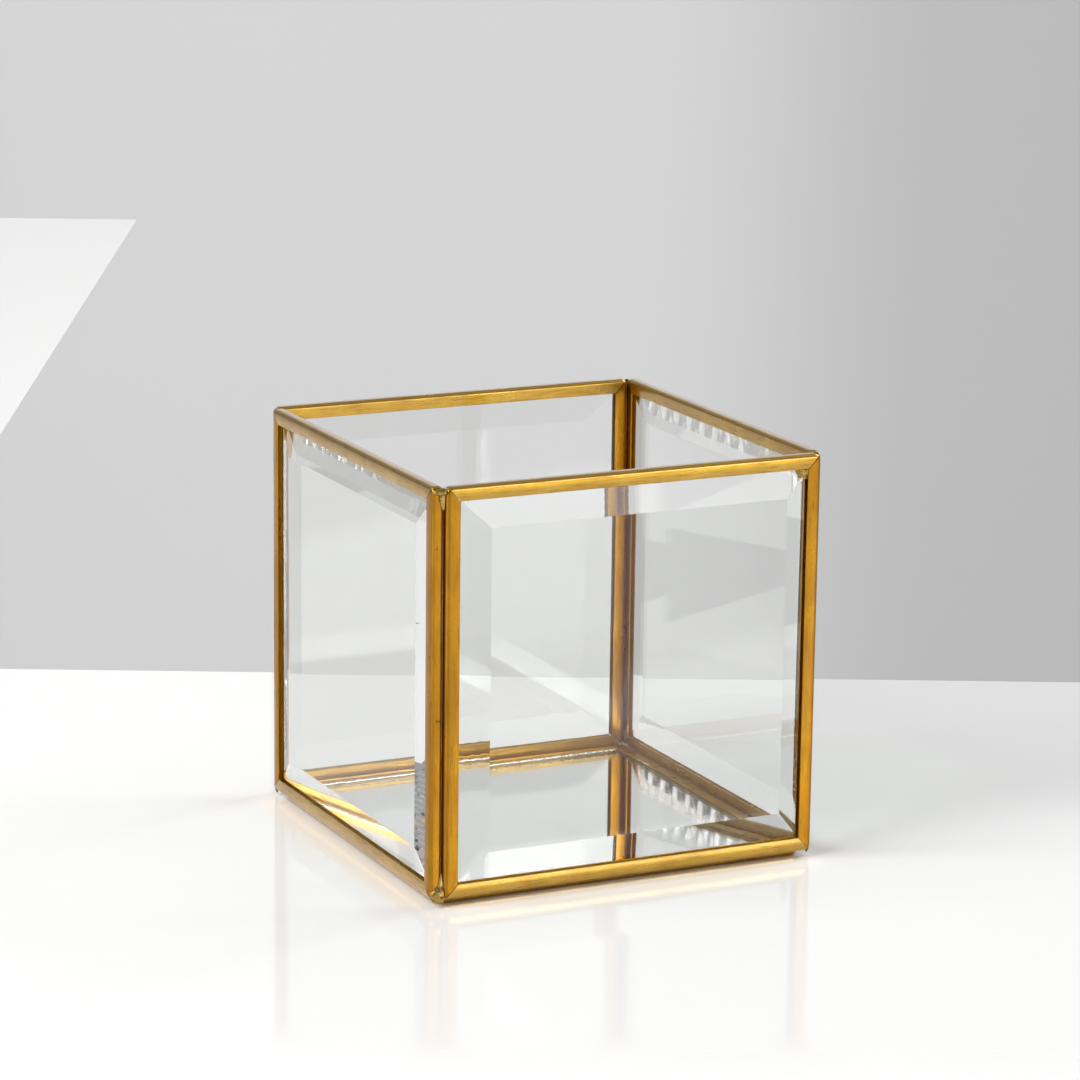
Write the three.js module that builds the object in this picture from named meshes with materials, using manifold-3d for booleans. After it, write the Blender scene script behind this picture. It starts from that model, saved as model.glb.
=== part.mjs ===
// An open-topped display cube: four bevelled glass panes and a mirror base, each edged in brass
// channel, and soldered together corner to corner. Millimetres, +Z up, origin at the centre of
// the footprint, on the surface that the cube stands on. The front wall faces -Y.

import * as THREE from "three";
import { mergeVertices } from "three/addons/utils/BufferGeometryUtils.js";
import Module from "manifold-3d";

const wasm = await Module();
wasm.setup();

// Brass channel: a U of thin sheet that wraps the rim of a pane.
const CHANNEL_THICK = 3.0; // across the pane, over both flanges
const CHANNEL_DEPTH = 3.4; // from the web to the edge of a flange
const SHEET = 0.35;
const SHOULDER = 0.9; // outside radius where a flange turns into the web
const FRAME_CORNER = 1.6; // outside radius where the web turns a corner of the frame
const MITRE_GAP = 0.3; // open line between two strips at a corner

// Frames. Seen from outside, the right end of each wall laps over the left end of the next one.
const INSIDE = 94.4; // between the inner faces of two opposite walls
const LAP = 1.5; // how far the right end of a wall reaches past its neighbour's inner face
const JOINT_GAP = 0.05; // open line between a wall's left end and its neighbour's inner face
const WALL_WIDTH = INSIDE + LAP - JOINT_GAP;
const WALL_SHIFT = (LAP + JOINT_GAP) / 2; // of a wall's middle to its right
const WALL_HEIGHT = 96.8;
const WALL_FOOT = 1.9; // height of the walls' lower edges: the base frame reaches below them
const BASE_GAP = 0.15; // room between the base frame and each wall
const BASE_SIZE = INSIDE - 2 * BASE_GAP;

// Glass.
const GLASS_THICK = 2.6;
const BEVEL_DROP = 1.85; // how much thinner the rim of a pane is than its middle
const BEVEL_SHOWN = { left: 7.7, right: 5.5, bottom: 6.8, top: 6.7 }; // bevel clear of the channel
const RIM_CLEARANCE = 0.8; // between the rim of a pane and the web, clear of its round inside
const FACE_CLEARANCE = 0.05; // between a pane and a flange
const MIRROR_THICK = CHANNEL_THICK - 2 * SHEET - 2 * FACE_CLEARANCE;

// Solder.
const NOTCH_GAP = 0.1; // between a lump and the two walls beside it
const LUMP_LONG = CHANNEL_THICK - NOTCH_GAP; // reach of a lump along the lapped end
const LUMP_SHORT = CHANNEL_THICK - LAP - NOTCH_GAP; // reach of a lump outwards from that end
const TOP_LUMP = { rise: 2.6, below_rim: 2.8 };
const FOOT_LUMP = { rise: 3.6, above_ground: 4.3 };
const BEAD = { width: 0.9, height: 0.4 };
const GUSSET = { across: 3.2, down: 2.3, thick: 0.4, gap: 0.1, sunk: 0.25 };

// Fineness of the curves.
const SHOULDER_STEPS = 3;
const CORNER_STEPS = 4;
const SOLDER_STEPS = 14;

const HALF_INSIDE = INSIDE / 2; // from the middle to the inner face of a wall
const HALF_OUTSIDE = HALF_INSIDE + CHANNEL_THICK;
const RIM = WALL_FOOT + WALL_HEIGHT; // height of the upper edges

const brass = new THREE.MeshStandardMaterial({ color: 0xc79b3a, roughness: 0.24, metalness: 1.0 });
const glass = new THREE.MeshStandardMaterial({ color: 0xe6ece8, roughness: 0.03, metalness: 0.0 });
const mirror = new THREE.MeshStandardMaterial({ color: 0xd5d7d8, roughness: 0.03, metalness: 1.0 });
const solder = new THREE.MeshStandardMaterial({ color: 0xa9874a, roughness: 0.32, metalness: 1.0 });
const tin = new THREE.MeshStandardMaterial({ color: 0xdcdcd8, roughness: 0.28, metalness: 1.0 });

// ---- solids and geometry -----------------------------------------------------------------------

function toSolid(geometry) {
  const bare = geometry.clone();
  bare.deleteAttribute("normal");
  bare.deleteAttribute("uv");
  const merged = mergeVertices(bare, 1e-5);
  return new wasm.Manifold(
    new wasm.Mesh({
      numProp: 3,
      vertProperties: new Float32Array(merged.attributes.position.array),
      triVerts: new Uint32Array(merged.index.array),
    }),
  );
}

function toGeometry(solid) {
  const mesh = solid.getMesh();
  const geometry = new THREE.BufferGeometry();
  geometry.setAttribute("position", new THREE.Float32BufferAttribute(mesh.vertProperties, 3));
  geometry.setIndex(Array.from(mesh.triVerts));
  geometry.computeVertexNormals();
  return geometry;
}

function box(sizeX, sizeY, sizeZ) {
  return new THREE.BoxGeometry(sizeX, sizeY, sizeZ);
}

// Joins closed loops of equally many points into one body with a flat cap at each end. The loops
// run anticlockwise as seen from the last one, and follow each other towards it.
function loft(loops) {
  const count = loops[0].length;
  const faces = [];
  for (let ring = 0; ring + 1 < loops.length; ring += 1) {
    for (let i = 0; i < count; i += 1) {
      const here = ring * count + i;
      const next = ring * count + ((i + 1) % count);
      faces.push(here, next, next + count);
      faces.push(here, next + count, here + count);
    }
  }
  const last = (loops.length - 1) * count;
  for (let i = 1; i + 1 < count; i += 1) {
    faces.push(0, i + 1, i);
    faces.push(last, last + i, last + i + 1);
  }
  const geometry = new THREE.BufferGeometry();
  geometry.setAttribute("position", new THREE.Float32BufferAttribute(loops.flat(2), 3));
  geometry.setIndex(faces);
  geometry.computeVertexNormals();
  return geometry;
}

// ---- channel -----------------------------------------------------------------------------------
// A frame is drawn flat, as it looks from outside: x to the right and y up from its middle, and z
// towards the viewer, with its outer face at 0 and its inner face at -CHANNEL_THICK.

function roundedRectangle(width, height, radius) {
  const x = width / 2 - radius;
  const y = height / 2 - radius;
  const shape = new THREE.Shape();
  shape.absarc(x, y, radius, 0, Math.PI / 2);
  shape.absarc(-x, y, radius, Math.PI / 2, Math.PI);
  shape.absarc(-x, -y, radius, Math.PI, 1.5 * Math.PI);
  shape.absarc(x, -y, radius, 1.5 * Math.PI, 2 * Math.PI);
  shape.closePath();
  return shape;
}

// A flat slab with round corners whose two faces curve into its rim, between two levels of z.
function softSlab(width, height, corner, edge, low, high) {
  const outline = roundedRectangle(width, height, corner);
  const slab = new THREE.ExtrudeGeometry(outline, {
    depth: high - low - 2 * edge,
    bevelEnabled: true,
    bevelSize: edge,
    bevelThickness: edge,
    bevelOffset: -edge,
    bevelSegments: SHOULDER_STEPS,
    curveSegments: CORNER_STEPS,
  });
  return slab.translate(0, 0, low + edge);
}

function channelFrame(width, height) {
  const outside = softSlab(width, height, FRAME_CORNER, SHOULDER, -CHANNEL_THICK, 0);
  const slot = softSlab(
    width - 2 * SHEET,
    height - 2 * SHEET,
    FRAME_CORNER - SHEET,
    SHOULDER - SHEET,
    SHEET - CHANNEL_THICK,
    -SHEET,
  );
  const opening = box(width - 2 * CHANNEL_DEPTH, height - 2 * CHANNEL_DEPTH, 3 * CHANNEL_THICK);
  return toSolid(outside).subtract(toSolid(slot)).subtract(toSolid(opening));
}

// What one side of a frame is cut out with: a prism between the two mitres.
function mitreWedge(width, height, side) {
  const lying = side === "top" || side === "bottom";
  const along = (lying ? width : height) / 2;
  const out = (lying ? height : width) / 2;
  const spare = 1;
  const reach = CHANNEL_DEPTH + spare;
  const slip = MITRE_GAP / Math.SQRT2;
  const outline = new THREE.Shape();
  outline.moveTo(-along - spare + slip, -spare);
  outline.lineTo(along + spare - slip, -spare);
  outline.lineTo(along - reach - slip, reach);
  outline.lineTo(-along + reach + slip, reach);
  outline.closePath();
  const prism = new THREE.ExtrudeGeometry(outline, { depth: 3 * CHANNEL_THICK, bevelEnabled: false });
  const turn = { bottom: 0, right: Math.PI / 2, top: Math.PI, left: -Math.PI / 2 }[side];
  return prism.translate(0, -out, -2 * CHANNEL_THICK).rotateZ(turn);
}

function channelStrips(width, height) {
  const frame = channelFrame(width, height);
  const strips = {};
  for (const side of ["top", "right", "bottom", "left"]) {
    strips[side] = toGeometry(frame.intersect(toSolid(mitreWedge(width, height, side))));
  }
  return strips;
}

// ---- glass -------------------------------------------------------------------------------------

// A pane drawn as its frame is, with the bevels on the outside.
function bevelledPane() {
  const inside = SHEET + FACE_CLEARANCE - CHANNEL_THICK;
  const outside = inside + GLASS_THICK;
  const x = WALL_WIDTH / 2 - SHEET - RIM_CLEARANCE;
  const y = WALL_HEIGHT / 2 - SHEET - RIM_CLEARANCE;
  const hidden = CHANNEL_DEPTH - SHEET - RIM_CLEARANCE;
  const ridge = {
    left: -x + hidden + BEVEL_SHOWN.left,
    right: x - hidden - BEVEL_SHOWN.right,
    bottom: -y + hidden + BEVEL_SHOWN.bottom,
    top: y - hidden - BEVEL_SHOWN.top,
  };
  const loop = (left, right, bottom, top, z) => [
    [left, bottom, z],
    [right, bottom, z],
    [right, top, z],
    [left, top, z],
  ];
  return loft([
    loop(-x, x, -y, y, inside),
    loop(-x, x, -y, y, outside - BEVEL_DROP),
    loop(ridge.left, ridge.right, ridge.bottom, ridge.top, outside),
  ]);
}

function mirrorPane() {
  const size = BASE_SIZE - 2 * (SHEET + RIM_CLEARANCE);
  return box(size, size, MIRROR_THICK);
}

// ---- solder ------------------------------------------------------------------------------------

// A lump in the outside notch between two walls: a quarter of a pressed ball, drawn with its
// straight edge on the z axis and lying towards -x and -y.
function cornerLump({ rise }) {
  const ball = new THREE.SphereGeometry(1, 2 * SOLDER_STEPS, SOLDER_STEPS);
  ball.rotateX(Math.PI / 2).scale(LUMP_LONG, LUMP_SHORT, rise);
  const notch = box(2 * LUMP_LONG, 2 * LUMP_SHORT, 4 * rise);
  notch.translate(-LUMP_LONG, -LUMP_SHORT, 0);
  return toGeometry(toSolid(ball).intersect(toSolid(notch)));
}

// A web of solder in the inside corner of a frame: a quarter of a flat oval, drawn with its corner
// at the origin and lying towards -x and -y.
function rimGusset() {
  const outline = new THREE.Shape();
  outline.moveTo(0, 0);
  outline.absellipse(0, 0, GUSSET.across, GUSSET.down, Math.PI, 1.5 * Math.PI);
  outline.closePath();
  return new THREE.ExtrudeGeometry(outline, {
    depth: GUSSET.thick,
    bevelEnabled: false,
    curveSegments: SOLDER_STEPS / 2,
  });
}

// The bead along the foot of the back wall: half-round, drawn along x with its flat side at z = 0.
function footBead(length) {
  const section = new THREE.Shape();
  section.absellipse(0, 0, BEAD.width / 2, BEAD.height, 0, Math.PI);
  section.closePath();
  const run = new THREE.ExtrudeGeometry(section, {
    depth: length,
    bevelEnabled: false,
    curveSegments: SOLDER_STEPS / 2,
  });
  return run.translate(0, 0, -length / 2).rotateX(Math.PI / 2).rotateZ(Math.PI / 2);
}

// ---- assembly ----------------------------------------------------------------------------------

function named(name, geometry, material) {
  const mesh = new THREE.Mesh(geometry, material);
  mesh.name = name;
  return mesh;
}

function turned(quarterTurns) {
  const group = new THREE.Group();
  group.rotation.z = (quarterTurns * Math.PI) / 2;
  return group;
}

// One wall stood up from its flat drawing, facing -Y.
function wall(side, strips, pane) {
  const upright = new THREE.Group();
  for (const [edge, geometry] of Object.entries(strips)) {
    upright.add(named(`${side}_channel_${edge}`, geometry, brass));
  }
  upright.add(named(`${side}_glass`, pane, glass));
  upright.rotation.x = Math.PI / 2;
  upright.position.set(WALL_SHIFT, -HALF_OUTSIDE, WALL_FOOT + WALL_HEIGHT / 2);
  return upright;
}

function base() {
  const group = new THREE.Group();
  const names = { top: "back", right: "right", bottom: "front", left: "left" };
  for (const [edge, geometry] of Object.entries(channelStrips(BASE_SIZE, BASE_SIZE))) {
    const strip = named(`base_channel_${names[edge]}`, geometry, brass);
    strip.position.z = CHANNEL_THICK;
    group.add(strip);
  }
  const plate = named("base_mirror", mirrorPane(), mirror);
  plate.position.z = CHANNEL_THICK / 2;
  group.add(plate);
  return group;
}

// The two solder lumps in the notch at the left end of the wall that the group turns to.
function cornerSolder(place, lumps) {
  const group = new THREE.Group();
  const top = named(`solder_top_${place}`, lumps.top, solder);
  const foot = named(`solder_foot_${place}`, lumps.foot, solder);
  const x = LUMP_LONG - HALF_OUTSIDE;
  const y = LUMP_SHORT - HALF_OUTSIDE;
  top.position.set(x, y, RIM - TOP_LUMP.below_rim);
  foot.position.set(x, y, FOOT_LUMP.above_ground);
  group.add(top, foot);
  return group;
}

const cube = new THREE.Group();
cube.name = "display_cube";

const wallStrips = channelStrips(WALL_WIDTH, WALL_HEIGHT);
const wallPane = bevelledPane();
["front", "right", "back", "left"].forEach((side, quarter) => {
  cube.add(turned(quarter).add(wall(side, wallStrips, wallPane)));
});

cube.add(base());

const lumps = { top: cornerLump(TOP_LUMP), foot: cornerLump(FOOT_LUMP) };
["front_left", "front_right", "back_right", "back_left"].forEach((place, quarter) => {
  cube.add(turned(quarter).add(cornerSolder(place, lumps)));
});

const gusset = named("rim_solder_gusset", rimGusset(), solder);
gusset.rotation.x = Math.PI / 2;
gusset.position.set(
  HALF_INSIDE + LAP - CHANNEL_DEPTH - GUSSET.gap,
  GUSSET.sunk + GUSSET.thick - HALF_OUTSIDE,
  RIM - CHANNEL_DEPTH - GUSSET.gap,
);
cube.add(gusset);

const opening = BASE_SIZE - 2 * CHANNEL_DEPTH;
const bead = named("base_back_bead", footBead(opening - 2 * BEAD.width), tin);
bead.position.set(0, opening / 2 - BEAD.width / 2 - FACE_CLEARANCE, CHANNEL_THICK - SHEET);
cube.add(bead);

export default cube;
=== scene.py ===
import math

import bmesh
import bpy
from mathutils import Matrix, Vector, noise


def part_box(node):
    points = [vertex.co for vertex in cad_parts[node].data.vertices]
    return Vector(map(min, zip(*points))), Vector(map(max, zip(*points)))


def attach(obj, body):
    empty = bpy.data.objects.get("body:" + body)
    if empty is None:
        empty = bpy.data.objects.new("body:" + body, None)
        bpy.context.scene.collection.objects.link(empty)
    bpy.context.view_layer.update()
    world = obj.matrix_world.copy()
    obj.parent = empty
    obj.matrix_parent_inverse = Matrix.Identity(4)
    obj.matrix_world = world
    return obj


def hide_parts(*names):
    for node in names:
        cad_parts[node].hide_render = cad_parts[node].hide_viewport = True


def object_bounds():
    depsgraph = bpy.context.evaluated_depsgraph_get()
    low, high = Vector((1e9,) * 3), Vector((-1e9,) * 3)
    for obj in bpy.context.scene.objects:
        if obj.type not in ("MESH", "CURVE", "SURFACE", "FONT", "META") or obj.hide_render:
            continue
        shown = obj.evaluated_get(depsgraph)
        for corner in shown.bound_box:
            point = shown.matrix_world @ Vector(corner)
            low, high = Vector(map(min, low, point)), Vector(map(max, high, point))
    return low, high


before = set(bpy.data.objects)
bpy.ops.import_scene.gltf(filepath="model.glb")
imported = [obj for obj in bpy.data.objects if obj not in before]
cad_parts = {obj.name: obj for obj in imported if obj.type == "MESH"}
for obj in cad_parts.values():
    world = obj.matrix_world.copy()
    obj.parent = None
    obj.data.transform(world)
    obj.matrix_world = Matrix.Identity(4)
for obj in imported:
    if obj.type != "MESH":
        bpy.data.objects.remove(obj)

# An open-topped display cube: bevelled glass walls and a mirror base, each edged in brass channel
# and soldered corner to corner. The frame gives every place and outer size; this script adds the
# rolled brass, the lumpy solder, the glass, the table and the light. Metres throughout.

CAD_LOW, CAD_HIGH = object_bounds()
MM = 0.001

# ---- sizes ---------------------------------------------------------------------------------------

# Brass channel.
SHEET = 0.35 * MM
SHOULDER = 0.9 * MM  # outside radius between a flange and the web
FRAME_CORNER = 1.6 * MM  # outside radius of the web round a corner of a frame
CROWN = 0.1 * MM  # how far the middle of an outer flange swells
MITRE_GAP = 0.12 * MM  # between a strip's end and the mitre line
WANDER = 0.02 * MM  # how far a strip strays from straight
FOLD_PLACE = 0.72 * MM  # depth of the painted shade, a dark line along the fold
FOLD_WIDTH = 0.17 * MM
HEAT_FULL = 1.5 * MM  # the brass is browned right through this near to a corner,
HEAT_REACH_FOOT = 7 * MM  # and not at all this far away
HEAT_REACH_TOP = 4.5 * MM
HEAT_RAGGED = 1.4 * MM
SHOULDER_STEPS = 7
FLANGE_STEPS = 6
CORNER_STEPS = 10
STATION_PITCH = 1.6 * MM

# Glass and mirror base.
SILVER_THICK = 0.15 * MM
PLATE_ARRIS = 0.25 * MM
PANE_ARRIS = 0.06 * MM
CHATTER_WAVES = 270  # of the wheel marks on the bevels: about one each 2.3 mm
PLATE_SHARP = 5  # degrees: keeps a plate's faces flat right up to its arrises

SIDES = ("front", "right", "back", "left")
EDGES = ("bottom", "right", "top", "left")


# ---- the frame's places --------------------------------------------------------------------------


def joint_box(names):
    """The box round several CAD nodes."""
    boxes = [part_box(name) for name in names]
    low = Vector([min(box[0][i] for box in boxes) for i in range(3)])
    high = Vector([max(box[1][i] for box in boxes) for i in range(3)])
    return low, high


def channel_node(side, edge):
    return f"{side}_channel_{edge}"


WALL_LOW, WALL_HIGH = joint_box([channel_node("front", edge) for edge in EDGES])
WALL_WIDTH = WALL_HIGH.x - WALL_LOW.x
WALL_MIDDLE = (WALL_HIGH.x + WALL_LOW.x) / 2  # each wall sits a little to its right
WALL_HEIGHT = WALL_HIGH.z - WALL_LOW.z
WALL_THICK = WALL_HIGH.y - WALL_LOW.y
CHANNEL_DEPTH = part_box("front_channel_bottom")[1].z - WALL_LOW.z
HALF_OUTSIDE = CAD_HIGH.x
HALF_INSIDE = HALF_OUTSIDE - WALL_THICK
RIM = WALL_HIGH.z

BASE_LOW, BASE_HIGH = joint_box([f"base_channel_{side}" for side in SIDES])
BASE_SIZE = BASE_HIGH.x - BASE_LOW.x
BASE_THICK = BASE_HIGH.z - BASE_LOW.z


# ---- mesh helpers --------------------------------------------------------------------------------


def mesh_object(name, work, materials, sharp_angle=35):
    """Turns a bmesh into a shown object with smooth faces and sharp edges where it turns hard."""
    bmesh.ops.recalc_face_normals(work, faces=work.faces)
    mesh = bpy.data.meshes.new(name)
    work.to_mesh(mesh)
    work.free()
    for material in materials:
        mesh.materials.append(material)
    mesh.shade_smooth()
    mesh.set_sharp_from_angle(angle=math.radians(sharp_angle))
    piece = bpy.data.objects.new(name, mesh)
    bpy.context.scene.collection.objects.link(piece)
    return piece


def loft(work, rings):
    """Skins a row of rings that have the same count of points, and closes both ends."""
    for first, second in zip(rings, rings[1:]):
        for i in range(len(first)):
            j = (i + 1) % len(first)
            work.faces.new((first[i], first[j], second[j], second[i]))
    work.faces.new(rings[0])
    work.faces.new(list(reversed(rings[-1])))


def stand_for(piece, node):
    """Puts a piece on the cube's one body in place of its CAD node."""
    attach(piece, "root")
    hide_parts(node)


def smooth_step(low, high, value):
    share = min(1.0, max(0.0, (value - low) / (high - low)))
    return share * share * (3 - 2 * share)


def quarter_turn(side):
    """The turn about +Z that takes the front wall to that side."""
    return Matrix.Rotation(SIDES.index(side) * math.pi / 2, 4, "Z")


def wall_placement(side):
    """From a wall's flat drawing (x right, y up, z towards the viewer) to its place."""
    stand = Matrix.Rotation(math.pi / 2, 4, "X")
    shift = Matrix.Translation((WALL_MIDDLE, -HALF_OUTSIDE, (WALL_LOW.z + WALL_HIGH.z) / 2))
    return quarter_turn(side) @ shift @ stand


# ---- materials -----------------------------------------------------------------------------------


class Nodes:
    """A small hand for building a material's node tree."""

    def __init__(self, name):
        self.material = bpy.data.materials.new(name)
        self.material.use_nodes = True
        self.tree = self.material.node_tree
        self.tree.nodes.clear()
        self.output = self.tree.nodes.new("ShaderNodeOutputMaterial")

    def add(self, kind, settings=None, **inputs):
        node = self.tree.nodes.new("ShaderNode" + kind)
        for key, value in (settings or {}).items():
            setattr(node, key, value)
        for key, value in inputs.items():
            self.put(node, key.replace("_", " "), value)
        return node

    def put(self, node, key, value):
        socket = node.inputs[int(key)] if key.isdigit() else node.inputs[key]
        if isinstance(value, bpy.types.NodeSocket):
            self.tree.links.new(value, socket)
        elif isinstance(value, bpy.types.Node):
            self.tree.links.new(value.outputs[0], socket)
        else:
            socket.default_value = value

    def place(self, scale):
        """Object coordinates, stretched by a scale along each axis."""
        where = self.add("TexCoord")
        mapping = self.add("Mapping", Vector=where.outputs["Object"], Scale=scale)
        return mapping.outputs[0]

    def noise(self, vector, scale, detail=4.0, roughness=0.5):
        node = self.add("TexNoise", Vector=vector, Scale=scale, Detail=detail, Roughness=roughness)
        return node.outputs["Fac"]

    def range(self, value, low, high, to_low=0.0, to_high=1.0, kind="SMOOTHSTEP"):
        node = self.add("MapRange", {"interpolation_type": kind}, Value=value)
        for key, number in zip(("From Min", "From Max", "To Min", "To Max"), (low, high, to_low, to_high)):
            node.inputs[key].default_value = number
        return node.outputs["Result"]

    def math(self, operation, first, second):
        node = self.add("Math", {"operation": operation})
        self.put(node, "0", first)
        self.put(node, "1", second)
        return node.outputs[0]

    def mix(self, share, first, second):
        node = self.add("Mix", {"data_type": "RGBA"})
        self.put(node, "0", share)
        self.put(node, "6", first)
        self.put(node, "7", second)
        return node.outputs[2]

    def bump(self, height, strength, distance, normal=None):
        node = self.add("Bump", Height=height, Strength=strength, Distance=distance)
        if normal is not None:
            self.put(node, "Normal", normal)
        return node.outputs[0]

    def finish(self, shader):
        self.tree.links.new(shader.outputs[0], self.output.inputs["Surface"])
        return self.material


# Brass: brighter tone, duller tone, weight of the lacquer. The level strips are painted paler than the
# upright ones, a painted highlight for the brighter reflections they catch.
UPRIGHT_TONES = ((0.5, 0.235, 0.008, 1), (0.4, 0.175, 0.004, 1), 0.3)
LEVEL_TONES_PAINTED_PALER = ((0.55, 0.325, 0.03, 1), (0.44, 0.245, 0.015, 1), 1.0)


def brass(axis):
    """Rolled brass whose die lines run along an axis, dulled and browned where it was soldered, with painted
    shade along the fold between each flange and the web.
    """
    nodes = Nodes(f"brass_{axis}")
    along = {"x": (1, 14, 14), "y": (14, 1, 14), "z": (14, 14, 1)}[axis]
    lines = nodes.noise(nodes.place(along), 160, detail=5, roughness=0.6)
    cloud = nodes.noise(nodes.place((1, 1, 1)), 95, detail=5, roughness=0.6)
    slow = nodes.noise(nodes.place((1, 1, 1)), 28, detail=2)
    speck = nodes.noise(nodes.place((1, 1, 1)), 620, detail=2)
    heat = nodes.add("Attribute", {"attribute_name": "heat"}).outputs["Fac"]

    fold = nodes.add("Attribute", {"attribute_name": "fold"}).outputs["Fac"]

    # The level strips take the paler tones: a painted highlight.
    bright, dull, lacquer = UPRIGHT_TONES if axis == "z" else LEVEL_TONES_PAINTED_PALER
    colour = nodes.mix(nodes.range(cloud, 0.3, 0.7), bright, dull)
    colour = nodes.mix(nodes.range(lines, 0.48, 0.68, 0, 0.65), colour, (0.25, 0.12, 0.006, 1))
    # Painted shade: a dark line along the fold between flange and web.
    colour = nodes.mix(nodes.math("MULTIPLY", fold, 0.4), colour, (0.15, 0.06, 0.004, 1))
    spot = nodes.math("MULTIPLY", nodes.range(speck, 0.7, 0.75), nodes.range(slow, 0.5, 0.62))
    colour = nodes.mix(spot, colour, (0.12, 0.045, 0.01, 1))
    burnt = nodes.range(nodes.math("ADD", heat, nodes.math("MULTIPLY", cloud, 0.55)), 0.66, 1.05)
    colour = nodes.mix(burnt, colour, (0.19, 0.1, 0.03, 1))

    rough = nodes.range(cloud, 0.25, 0.75, 0.25, 0.34)
    rough = nodes.math("ADD", rough, nodes.range(lines, 0.45, 0.75, 0.0, 0.07))
    rough = nodes.math("ADD", rough, nodes.math("MULTIPLY", burnt, 0.2))

    normal = nodes.bump(slow, 0.5, 0.00035)
    normal = nodes.bump(cloud, 0.25, 0.00006, normal)
    normal = nodes.bump(lines, 0.35, 0.00002, normal)
    shader = nodes.add("BsdfPrincipled", Metallic=1.0, Roughness=rough, Normal=normal)
    nodes.put(shader, "Base Color", colour)
    nodes.put(shader, "Coat Weight", lacquer)
    nodes.put(shader, "Coat Roughness", 0.1)
    return nodes.finish(shader)


def solder(name, bright, dull, stain, roughness):
    """Solder that set in lumps: two tones, and a stain in patches."""
    nodes = Nodes(name)
    cloud = nodes.noise(nodes.place((1, 1, 1)), 420, detail=4)
    patch = nodes.noise(nodes.place((1, 1, 1)), 900, detail=3)
    grain = nodes.noise(nodes.place((1, 1, 1)), 2600, detail=2)
    colour = nodes.mix(nodes.range(cloud, 0.35, 0.65), bright, dull)
    colour = nodes.mix(nodes.range(patch, 0.56, 0.66, 0, 0.8), colour, stain)
    rough = nodes.range(patch, 0.4, 0.65, roughness, roughness + 0.22)
    normal = nodes.bump(cloud, 0.3, 0.00005)
    normal = nodes.bump(grain, 0.2, 0.00001, normal)
    shader = nodes.add("BsdfPrincipled", Metallic=1.0, Roughness=rough, Normal=normal)
    nodes.put(shader, "Base Color", colour)
    return nodes.finish(shader)


def on_bevels(nodes):
    """1 on faces that lean away from all three axes, such as the ground bevels, else 0."""
    faces = nodes.add("SeparateXYZ", Vector=nodes.add("TexCoord").outputs["Normal"])
    sizes = [nodes.math("ABSOLUTE", faces.outputs[i], 0.0) for i in range(3)]
    largest = nodes.math("MAXIMUM", nodes.math("MAXIMUM", sizes[0], sizes[1]), sizes[2])
    return nodes.range(largest, 0.985, 0.995, 1.0, 0.0)


def clear_glass(name, wheel_marks, mirrored):
    """Polished glass that lets lamps and soft light through. Wheel marks ripple the ground bevels.
    Its reflections are held to a share of their strength."""
    nodes = Nodes(name)
    haze = nodes.noise(nodes.place((1, 1, 1)), 60, detail=4)
    rough = nodes.range(haze, 0.55, 0.8, 0.0, 0.004)
    slow = nodes.noise(nodes.place((1, 1, 1)), 18, detail=1)
    normal = nodes.bump(slow, 0.1, 0.00001)
    if wheel_marks:
        chatter = nodes.add("TexWave", {"bands_direction": "DIAGONAL"}, Scale=CHATTER_WAVES, Distortion=1.5)
        nodes.put(chatter, "Vector", nodes.place((1, 1, 1)))
        worn = nodes.range(nodes.noise(nodes.place((1, 1, 1)), 22, detail=1), 0.5, 0.62)
        marks = nodes.math("MULTIPLY", nodes.math("MULTIPLY", chatter.outputs["Fac"], worn), on_bevels(nodes))
        normal = nodes.bump(marks, 0.15, 0.00001, normal)
    shader = nodes.add("BsdfPrincipled", Roughness=rough, Normal=normal)
    nodes.put(shader, "Base Color", (0.988, 0.996, 0.988, 1))
    nodes.put(shader, "Transmission Weight", 1.0)
    nodes.put(shader, "IOR", 1.52)
    nodes.put(shader, "Specular Tint", (mirrored, mirrored, mirrored, 1))
    clear = nodes.add("BsdfTransparent", Color=(0.94, 0.96, 0.945, 1))
    ray = nodes.add("LightPath")
    soft = nodes.math("MAXIMUM", ray.outputs["Is Shadow Ray"], ray.outputs["Is Diffuse Ray"])
    both = nodes.add("MixShader")
    nodes.put(both, "0", soft)
    nodes.put(both, "1", shader)
    nodes.put(both, "2", clear)
    return nodes.finish(both)


def silver():
    """The silvering behind the base's glass, a little blotched with age."""
    nodes = Nodes("silver")
    blotch = nodes.noise(nodes.place((1, 1, 1)), 40, detail=6)
    colour = nodes.mix(nodes.range(blotch, 0.5, 0.75, 0, 0.5), (0.9, 0.905, 0.9, 1), (0.84, 0.84, 0.83, 1))
    rough = nodes.range(blotch, 0.5, 0.8, 0.01, 0.05)
    shader = nodes.add("BsdfPrincipled", Metallic=1.0, Roughness=rough)
    nodes.put(shader, "Base Color", colour)
    return nodes.finish(shader)


def backing_paint():
    """The grey paint that guards the silvering, seen from below."""
    nodes = Nodes("backing_paint")
    mottle = nodes.noise(nodes.place((1, 1, 1)), 300, detail=5)
    colour = nodes.mix(nodes.range(mottle, 0.35, 0.7), (0.2, 0.21, 0.22, 1), (0.26, 0.27, 0.28, 1))
    normal = nodes.bump(mottle, 0.4, 0.00004)
    shader = nodes.add("BsdfPrincipled", Roughness=nodes.range(mottle, 0.3, 0.7, 0.45, 0.6), Normal=normal)
    nodes.put(shader, "Base Color", colour)
    return nodes.finish(shader)


BRASS = {axis: brass(axis) for axis in "xyz"}
SOLDER = solder("solder_brown", (0.52, 0.35, 0.11, 1), (0.27, 0.16, 0.04, 1), (0.1, 0.05, 0.015, 1), 0.34)
TIN = solder("solder_bright", (0.9, 0.88, 0.83, 1), (0.78, 0.74, 0.66, 1), (0.5, 0.42, 0.3, 1), 0.2)
PANE = clear_glass("pane_glass", True, 0.6)
PLATE = clear_glass("plate_glass", False, 1.0)
SILVER = silver()
PAINT = backing_paint()


# ---- brass channel -------------------------------------------------------------------------------


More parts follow.
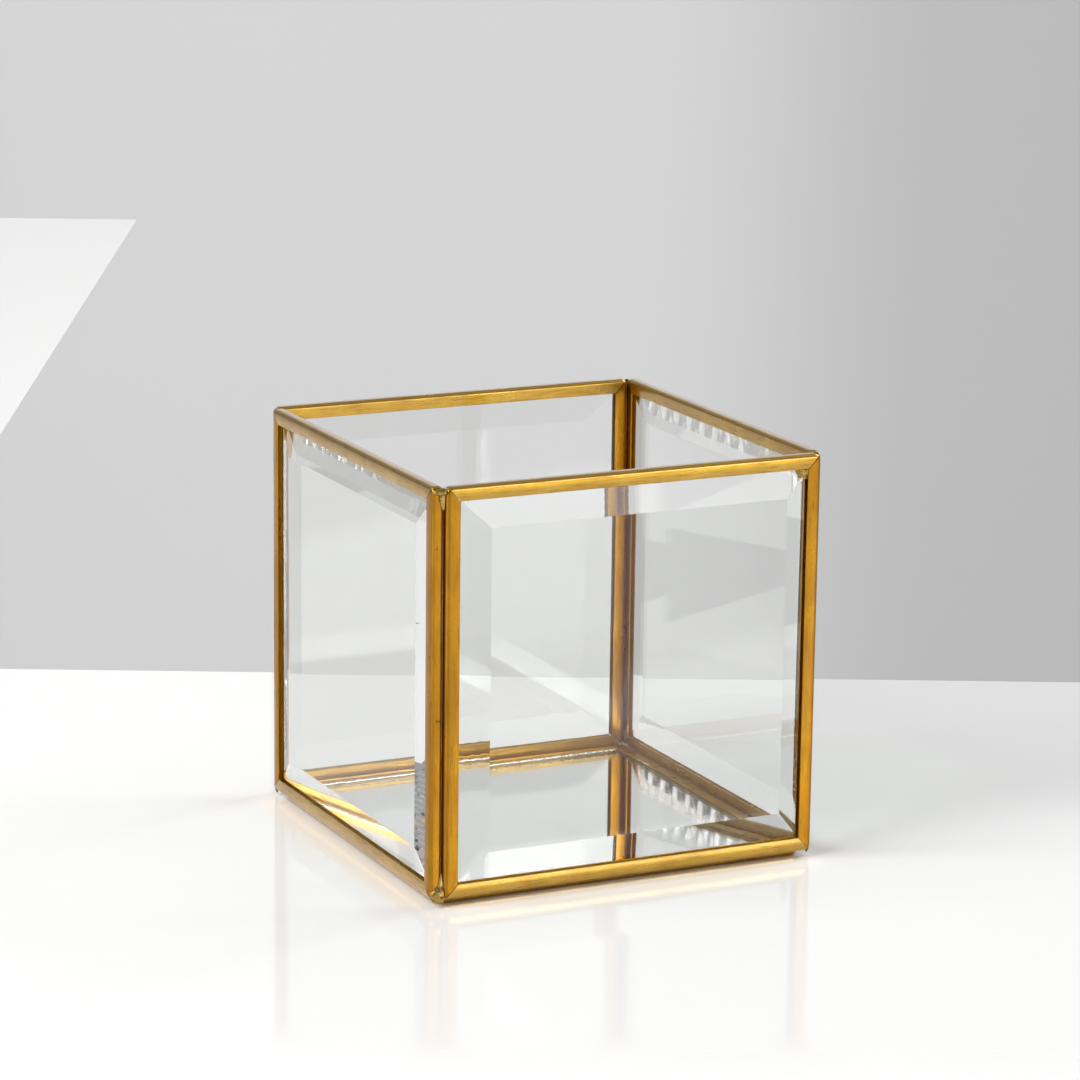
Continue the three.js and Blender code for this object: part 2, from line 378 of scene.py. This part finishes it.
def arc(centre, radius, start, end, steps):
    """Points of a circle's arc in the section's plane, from one angle to another, in degrees."""
    points = []
    for i in range(steps + 1):
        angle = math.radians(start + (end - start) * i / steps)
        points.append((centre[0] + radius * math.cos(angle), centre[1] + radius * math.sin(angle)))
    return points


def flange_swell(depth, full_depth):
    """How far a crowned flange stands out at a depth from the web."""
    share = (depth - SHOULDER) / (full_depth - SHOULDER)
    return CROWN * 4 * share * (1 - share) if 0 < share < 1 else 0.0


def fold_painted_shade(depth):
    """How dark the painted shade is along the fold between a flange and the web, by depth."""
    away = (depth - FOLD_PLACE) / FOLD_WIDTH
    return math.exp(-away * away)


def shoulder_arc(level, reach, start, end):
    """The round of the sheet between a flange and the web, pressed to a reach across the section."""
    bend = arc((SHOULDER, level), SHOULDER, start, end, SHOULDER_STEPS)
    return [(depth, level + (height - level) * reach) for depth, height in bend]


def channel_section(thick, depth):
    """The U in section as a closed loop of (depth from the outer edge, level). The outer face is at
    level 0 and the inner one at -thick. The outer flange swells by a hair between its edges."""
    far = -thick
    flange = [depth - (depth - SHOULDER) * i / FLANGE_STEPS for i in range(FLANGE_STEPS)]
    inner = SHOULDER - SHEET
    lip = SHEET / 5
    loop = [(depth, -CROWN - lip)]
    loop += [(d, flange_swell(d, depth) - CROWN) for d in [depth - lip] + flange[1:]]
    loop += shoulder_arc(-SHOULDER, 1 - CROWN / SHOULDER, 90, 180)
    loop += shoulder_arc(far + SHOULDER, 1, 180, 270)
    loop += [(depth - lip, far), (depth, far + lip), (depth, far + SHEET - lip), (depth - lip, far + SHEET)]
    loop += arc((SHOULDER, far + SHOULDER), inner, 270, 180, SHOULDER_STEPS)
    loop += arc((SHOULDER, -SHOULDER), inner, 180, 90, SHOULDER_STEPS)
    loop += [(depth - lip, -SHEET), (depth, -SHEET + lip)]
    return loop


def strip_point(share, depth, half, full_depth):
    """Where a line of the strip at a depth has got to at a share of the stretch next to its mitre:
    straight on, then round the frame's corner if it lies outside the corner's centre."""
    start = half - full_depth
    if depth >= FRAME_CORNER:
        end = half - depth - MITRE_GAP
        return start + share * (end - start), depth
    straight = full_depth - FRAME_CORNER
    radius = FRAME_CORNER - depth
    gone = share * (straight + radius * math.pi / 4 - MITRE_GAP)
    if gone <= straight:
        return start + gone, depth
    angle = (gone - straight) / radius
    return half - FRAME_CORNER + radius * math.sin(angle), FRAME_CORNER - radius * math.cos(angle)


def strip_stations(half, full_depth):
    """Pairs of (place along the middle, share of an end stretch), from one mitre to the other."""
    start = half - full_depth
    count = round(2 * start / STATION_PITCH)
    middle = [(-start + 2 * start * i / count, 0.0) for i in range(count + 1)]
    ends = [(i / CORNER_STEPS) for i in range(1, CORNER_STEPS + 1)]
    return [(-start, share) for share in reversed(ends)] + middle + [(start, share) for share in ends]


def corner_heat(point):
    """How browned the brass is by soldering, by the distance to the nearest corner of the cube."""
    corner = Vector((math.copysign(HALF_INSIDE, point.x), math.copysign(HALF_INSIDE, point.y), 0))
    corner.z = 0 if point.z < RIM / 2 else RIM
    reach = HEAT_REACH_FOOT if corner.z == 0 else HEAT_REACH_TOP
    away = (point - corner).length
    ragged = HEAT_RAGGED * noise.noise(point / (2.5 * MM))
    return 1 - smooth_step(HEAT_FULL, reach, away + ragged)


def channel_strip(name, edge, width, height, thick, placement, axis, seed):
    """One strip of channel along an edge of a frame, drawn flat and then put in place."""
    lying = edge in ("top", "bottom")
    half = (width if lying else height) / 2
    out = (height if lying else width) / 2
    turn = Matrix.Rotation(EDGES.index(edge) * math.pi / 2, 4, "Z")
    section = channel_section(thick, CHANNEL_DEPTH)
    work = bmesh.new()
    rings = []
    for middle, share in strip_stations(half, CHANNEL_DEPTH):
        sign = -1 if middle < 0 else 1
        stray = WANDER * (1 - share) * noise.noise(Vector((middle / (14 * MM), seed, 0)))
        lift = WANDER * (1 - share) * noise.noise(Vector((middle / (9 * MM), 0, seed)))
        ring = []
        for depth, level in section:
            if share:
                along, deep = strip_point(share, depth, half, CHANNEL_DEPTH)
                along *= sign
            else:
                along, deep = middle, depth
            height = max(level - abs(lift), -thick)  # never below the strip's own box
            flat = Vector((along, -out + deep + abs(stray), height))
            ring.append(work.verts.new(placement @ (turn @ flat)))
        rings.append(ring)
    loft(work, rings)
    piece = mesh_object(name, work, [BRASS[axis]])
    heat = piece.data.attributes.new("heat", "FLOAT", "POINT")
    heat.data.foreach_set("value", [corner_heat(vertex.co) for vertex in piece.data.vertices])
    # The painted shade along the fold, kept on the points.
    fold = piece.data.attributes.new("fold", "FLOAT", "POINT")
    fold.data.foreach_set("value", [fold_painted_shade(depth) for _ in rings for depth, level in section])
    return piece


def wall_channels():
    for side in SIDES:
        placement = wall_placement(side)
        for edge in EDGES:
            level_axis = "x" if side in ("front", "back") else "y"
            axis = level_axis if edge in ("top", "bottom") else "z"
            node = channel_node(side, edge)
            seed = 10 * SIDES.index(side) + EDGES.index(edge) + 0.5
            name = f"{side}_{edge}_strip"
            piece = channel_strip(name, edge, WALL_WIDTH, WALL_HEIGHT, WALL_THICK, placement, axis, seed)
            stand_for(piece, node)


def base_channels():
    placement = Matrix.Translation((0, 0, BASE_HIGH.z))
    for side, edge in zip(SIDES, EDGES):
        axis = "x" if side in ("front", "back") else "y"
        name = f"base_{side}_strip"
        seed = 70.5 + SIDES.index(side)
        piece = channel_strip(name, edge, BASE_SIZE, BASE_SIZE, BASE_THICK, placement, axis, seed)
        stand_for(piece, f"base_channel_{side}")


# ---- mirror base ---------------------------------------------------------------------------------


def plate_mesh(low, high, arris):
    """A flat plate whose edges are eased."""
    work = bmesh.new()
    bmesh.ops.create_cube(work, size=1)
    size = high - low
    bmesh.ops.scale(work, vec=size, verts=work.verts)
    bmesh.ops.translate(work, vec=(low + high) / 2, verts=work.verts)
    if arris:
        bmesh.ops.bevel(work, geom=work.edges[:], offset=arris, segments=3, profile=0.5, affect="EDGES")
    return work


def mirror_base():
    low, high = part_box("base_mirror")
    silver_top = low.z + SILVER_THICK
    sunk = 0.02 * MM  # the silvering reaches into the glass, so that no air lies between them
    glass_low = Vector((low.x, low.y, silver_top - sunk))
    glass = mesh_object("mirror_glass", plate_mesh(glass_low, high, PLATE_ARRIS), [PLATE], PLATE_SHARP)
    inset = Vector((PLATE_ARRIS, PLATE_ARRIS, 0))
    silver_high = Vector((high.x, high.y, silver_top)) - inset
    back = plate_mesh(low + inset, silver_high, 0)
    for face in back.faces:
        face.material_index = 1 if face.calc_center_median().z < low.z + SILVER_THICK / 4 else 0
    backing = mesh_object("mirror_silvering", back, [SILVER, PAINT], PLATE_SHARP)
    for piece in (glass, backing):
        stand_for(piece, "base_mirror")


# ---- glass ---------------------------------------------------------------------------------------


def panes():
    for side in SIDES:
        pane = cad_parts[f"{side}_glass"]
        pane.data.materials.clear()
        pane.data.materials.append(PANE)
        ease = pane.modifiers.new("eased_edges", "BEVEL")
        ease.width = PANE_ARRIS
        ease.segments = 2
        ease.limit_method = "ANGLE"
        ease.angle_limit = math.radians(6)


# ---- solder --------------------------------------------------------------------------------------


def ball(place, middle, radius):
    """The outline of a ball at a place along a lump, as a share of its full reach."""
    away = (place - middle) / radius
    return math.sqrt(1 - away * away) if abs(away) < 1 else 0.0


def top_lump_reach(place):
    """A ball at the rim with a run of solder below it, from the lowest point, 0, to the top, 1."""
    run = 0.4 * math.sqrt(min(1.0, place / 0.5)) if place < 0.8 else 0.0
    return max(ball(place, 0.82, 0.17), run, 0.03)


def foot_lump_reach(place):
    """A heavy mass at the foot with a thin run climbing above it."""
    run = 0.5 * math.sqrt(1 - place) if place > 0.25 else 0.0
    return max(ball(place, 0.3, 0.3), run, 0.03)


def corner_lump(name, node, reach, fullness, seed):
    """A lump in the outside notch where two walls meet, flat against both of them."""
    low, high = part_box(node)
    corner = Vector([min(low[i], high[i], key=abs) for i in range(2)])
    span = Vector([max(low[i], high[i], key=abs) for i in range(2)]) - corner
    work = bmesh.new()
    stations = 56  # up the lump
    around = 16  # from one wall to the other
    rings = []
    for i in range(stations + 1):
        place = i / stations
        z = low.z + (high.z - low.z) * place
        ring = [work.verts.new((corner.x, corner.y, z))]
        for k in range(around + 1):
            angle = math.pi / 2 * k / around
            where = Vector((z / (1.3 * MM), angle * 1.2, seed))
            stir = 1 + 0.14 * noise.fractal(where, 0.8, 2.0, 2)
            out = fullness * min(1.0, reach(place) * stir)
            x = corner.x + span.x * out * math.cos(angle)
            y = corner.y + span.y * out * math.sin(angle)
            ring.append(work.verts.new((x, y, z)))
        rings.append(ring)
    loft(work, rings)
    stand_for(mesh_object(name, work, [SOLDER]), node)


def corner_lumps():
    for index, place in enumerate(("front_left", "front_right", "back_right", "back_left")):
        full = 1.0 if place == "front_left" else 0.5
        corner_lump(f"lump_top_{place}", f"solder_top_{place}", top_lump_reach, full, 3.7 * index)
        corner_lump(f"lump_foot_{place}", f"solder_foot_{place}", foot_lump_reach, full, 3.7 * index + 40)


def gusset_outline(low, high, y, inset):
    """A quarter round with a ragged rim, as points at one depth through the web."""
    steps = 18
    outline = [Vector((high.x, y, high.z))]
    for i in range(steps + 1):
        angle = math.pi / 2 * i / steps
        ragged = 0.12 * abs(noise.noise(Vector((i * 0.5, 5, 1)))) * math.sin(2 * angle)
        out = 1 - ragged - inset
        x = high.x - (high.x - low.x) * out * math.cos(angle)
        z = high.z - (high.z - low.z) * out * math.sin(angle)
        outline.append(Vector((x, y, z)))
    return outline


def gusset():
    """The web of solder in one corner of the front wall's frame, domed towards the outside."""
    low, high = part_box("rim_solder_gusset")
    work = bmesh.new()
    rings = []
    for share, inset in ((0.0, 0.45), (0.2, 0.18), (0.55, 0.0), (1.0, 0.0)):
        y = low.y + share * (high.y - low.y)
        rings.append([work.verts.new(point) for point in gusset_outline(low, high, y, inset)])
    loft(work, rings)
    stand_for(mesh_object("rim_gusset", work, [SOLDER]), "rim_solder_gusset")


def back_bead():
    """The bright, lumpy bead of solder along the foot of the back wall."""
    low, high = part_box("base_back_bead")
    work = bmesh.new()
    stations = 220  # along the bead
    around = 12  # over its half round
    middle_y = (low.y + high.y) / 2
    rings = []
    for i in range(stations + 1):
        x = low.x + (high.x - low.x) * i / stations
        fat = 0.72 + 0.28 * noise.noise(Vector((x / (1.6 * MM), 3, 0)))
        tall = 0.75 + 0.25 * noise.noise(Vector((x / (1.1 * MM), 9, 0)))
        ring = []
        for k in range(around + 1):
            angle = math.pi * k / around
            y = middle_y + fat * (high.y - low.y) / 2 * math.cos(angle)
            z = low.z + tall * (high.z - low.z) * math.sin(angle)
            ring.append(work.verts.new((x, y, z)))
        rings.append(ring)
    loft(work, rings)
    stand_for(mesh_object("foot_bead", work, [TIN]), "base_back_bead")


# ---- stage ---------------------------------------------------------------------------------------


VIEW_AZIMUTH = math.radians(-25.717)
VIEW_ELEVATION = math.radians(13.362)
VIEW_ROLL = math.radians(0.715)
VIEW_DISTANCE = 0.9876
VIEW_TARGET = Vector((0.00052, 0.0008, 0.0712))
VIEW_LENS = 136.75
TABLE_BEHIND = 0.138  # from the middle of the cube to the table's far edge
TABLE_LONG = 0.8
TABLE_WIDE = 1.6
TABLE_LEFT_WING = 0.19  # from the middle to the left part that reaches further back
SWEEP_START = 1.9  # from the middle of the cube to where the backdrop starts to curve up
SWEEP_RADIUS = 1.1
SWEEP_BELOW = 1.0  # the backdrop's floor lies this far below the table

WORLD_GREY = 0.37
GLOW_ABOVE = 4 * MM  # the warm light at the foot of the walls
GLOW_AWAY = 2.5 * MM
GLOW_WIDE = 4 * MM
GLOW_POWER = 0.0007

AWAY = Vector((-math.sin(VIEW_AZIMUTH), math.cos(VIEW_AZIMUTH), 0))
ACROSS = Vector((math.cos(VIEW_AZIMUTH), math.sin(VIEW_AZIMUTH), 0))


def ramp_along(nodes, direction, low, high, to_low=0.0, to_high=1.0, kind="SMOOTHSTEP"):
    """A ramp across the floor along a direction, between two distances from the cube's middle."""
    where = nodes.add("TexCoord").outputs["Object"]
    along = nodes.add("VectorMath", {"operation": "DOT_PRODUCT"})
    nodes.put(along, "0", where)
    along.inputs[1].default_value = direction
    return nodes.range(along.outputs["Value"], low, high, to_low, to_high, kind)


def table_material():
    """Glossy white with painted shade behind the cube and to its right, and matt far in front of it."""
    nodes = Nodes("table_white")
    cloud = nodes.noise(nodes.place((1, 1, 1)), 3, detail=3)
    white = nodes.mix(cloud, (0.86, 0.86, 0.855, 1), (0.84, 0.84, 0.835, 1))
    # Painted shade: the table is greyed behind the cube and to its right.
    behind = ramp_along(nodes, (0, 1, 0), 0.046, 0.054)
    beside = nodes.math(
        "MULTIPLY", ramp_along(nodes, (1, 0, 0), 0.046, 0.056), ramp_along(nodes, (0, 1, 0), -0.07, -0.012)
    )
    past_left_edge = ramp_along(nodes, (0.9285, -0.3716, 0), -0.0652, -0.0622)
    shade = nodes.math("MULTIPLY", nodes.math("MAXIMUM", behind, beside), past_left_edge)
    colour = nodes.mix(nodes.math("MULTIPLY", shade, 0.9), white, (0.62, 0.62, 0.62, 1))
    worn = ramp_along(nodes, AWAY, -0.18, -0.14, 0.5, 0.0)
    rough = nodes.math("ADD", nodes.range(cloud, 0.2, 0.8, 0.05, 0.09), worn)
    shader = nodes.add("BsdfPrincipled", Roughness=rough)
    nodes.put(shader, "Base Color", colour)
    return nodes.finish(shader)


def backdrop_material():
    """Matt grey paper with painted shade towards the right as seen from the camera's foot, and painted light
    above the picture, where only the mirror and the top of the brass see it."""
    nodes = Nodes("backdrop_grey")
    cloud = nodes.noise(nodes.place((1, 1, 1)), 2, detail=3)
    grey = nodes.mix(cloud, (0.55, 0.55, 0.55, 1), (0.53, 0.53, 0.53, 1))
    aside = ramp_along(nodes, ACROSS, -8, 8, -8, 8, "LINEAR")
    ahead = ramp_along(nodes, AWAY, -8, 8, VIEW_DISTANCE - 8, VIEW_DISTANCE + 8, "LINEAR")
    # Painted shade towards the right.
    right = nodes.range(nodes.math("DIVIDE", aside, ahead), 0.02, 0.1)
    colour = nodes.mix(nodes.math("MULTIPLY", right, 0.9), grey, (0.41, 0.41, 0.41, 1))
    # Painted light: paler higher up.
    colour = nodes.mix(ramp_along(nodes, (0, 0, 1), -0.05, 0.35), colour, (0.7, 0.7, 0.7, 1))
    shader = nodes.add("BsdfPrincipled", Roughness=nodes.range(cloud, 0.2, 0.8, 0.65, 0.8))
    nodes.put(shader, "Base Color", colour)
    nodes.put(shader, "Specular IOR Level", 0.2)
    return nodes.finish(shader)


def table(material):
    """A level top, square to the view. It reaches further back on the left, outside the picture."""
    far, near = TABLE_BEHIND, TABLE_BEHIND - TABLE_LONG
    half = TABLE_WIDE / 2
    left = -TABLE_LEFT_WING
    wing = far + TABLE_LONG
    outline = [(-half, near), (half, near), (half, far), (left, far), (left, wing), (-half, wing)]
    work = bmesh.new()
    points = [ACROSS * side + AWAY * ahead for side, ahead in outline]
    work.faces.new([work.verts.new(point) for point in points])
    bmesh.ops.triangulate(work, faces=work.faces)
    mesh_object("table", work, [material])


def sweep(material):
    """Backdrop paper: flat on the floor, then up in one wide curve behind the cube."""
    work = bmesh.new()
    start, radius, top, front, half = SWEEP_START, SWEEP_RADIUS, 3.0, -8.0, 5.0
    steps = 40
    outline = [(front, 0.0)]
    for i in range(steps + 1):
        angle = math.pi / 2 * i / steps
        outline.append((start + radius * math.sin(angle), radius * (1 - math.cos(angle))))
    outline.append((start + radius, top))
    rows = []
    for ahead, up in outline:
        middle = AWAY * ahead + Vector((0, 0, up - SWEEP_BELOW))
        rows.append([work.verts.new(middle + ACROSS * side) for side in (-half, half)])
    for near, far in zip(rows, rows[1:]):
        work.faces.new((near[0], near[1], far[1], far[0]))
    mesh_object("backdrop", work, [material])


def stage():
    table(table_material())
    sweep(backdrop_material())


def soft_box(name, place, size, power, target=(0, 0, 0.05)):
    light = bpy.data.lights.new(name, "AREA")
    light.shape = "RECTANGLE"
    light.size, light.size_y = size
    light.energy = power
    lamp = bpy.data.objects.new(name, light)
    lamp.location = place
    lamp.rotation_euler = (Vector(target) - Vector(place)).to_track_quat("-Z", "Y").to_euler()
    lamp.visible_camera = False
    bpy.context.scene.collection.objects.link(lamp)
    return lamp


def foot_glow(side):
    """The light that the brass throws on the table at its foot."""
    middle = Vector((WALL_MIDDLE, -HALF_OUTSIDE - GLOW_AWAY, GLOW_ABOVE))
    place = quarter_turn(side) @ middle
    turn = 0.0 if side in ("front", "back") else math.pi / 2
    lamp = soft_box(f"glow_{side}", place, (WALL_WIDTH, GLOW_WIDE), GLOW_POWER)
    lamp.rotation_euler = (0.0, 0.0, turn)  # straight down, with its length along the wall
    lamp.data.color = (1.0, 0.7, 0.33)
    lamp.visible_glossy = False
    lamp.visible_transmission = False


def backdrop_wash():
    """Lights the backdrop alone: nothing mirrors it."""
    place = AWAY * 1.5 + Vector((0, 0, 0.3))
    target = AWAY * 3.0 + Vector((0, 0, 0.5))
    wash = soft_box("box_backdrop", place, (3.0, 1.4), 25, target)
    wash.visible_glossy = False
    wash.visible_transmission = False


def lights():
    world = bpy.data.worlds.new("studio")
    bpy.context.scene.world = world
    world.use_nodes = True
    background = world.node_tree.nodes["Background"]
    background.inputs["Color"].default_value = (WORLD_GREY, WORLD_GREY, WORLD_GREY, 1)
    background.inputs["Strength"].default_value = 1.0
    soft_box("box_left", (-1.7, -0.1, 1.4), (1.6, 1.2), 50)
    soft_box("box_right", (1.6, 0.0, 1.2), (1.0, 1.2), 20)
    low = soft_box("box_low", (0.67, -1.44, 0.27), (1.2, 0.27), 7)
    low.visible_diffuse = False  # a bright band to reflect, which throws no shadows
    for side in ("front", "left"):
        foot_glow(side)
    backdrop_wash()


def camera():
    data = bpy.data.cameras.new("camera")
    data.sensor_width = 36
    data.lens = VIEW_LENS
    data.clip_start = 0.01
    data.clip_end = 100
    eye = bpy.data.objects.new("camera", data)
    bpy.context.scene.collection.objects.link(eye)
    a, e = VIEW_AZIMUTH, VIEW_ELEVATION
    back = Vector((math.sin(a) * math.cos(e), -math.cos(a) * math.cos(e), math.sin(e)))
    aim = (-back).to_track_quat("-Z", "Y").to_matrix().to_4x4()
    roll = Matrix.Rotation(VIEW_ROLL, 4, "Z")
    eye.matrix_world = Matrix.Translation(VIEW_TARGET + back * VIEW_DISTANCE) @ aim @ roll
    bpy.context.scene.camera = eye


def picture():
    scene = bpy.context.scene
    scene.view_settings.view_transform = "Standard"
    scene.cycles.max_bounces = 64
    scene.cycles.transmission_bounces = 64
    scene.cycles.glossy_bounces = 64
    scene.cycles.transparent_max_bounces = 24
    scene.cycles.caustics_refractive = False
    scene.cycles.caustics_reflective = True


wall_channels()
base_channels()
mirror_base()
panes()
corner_lumps()
gusset()
back_bead()
stage()
lights()
camera()
picture()
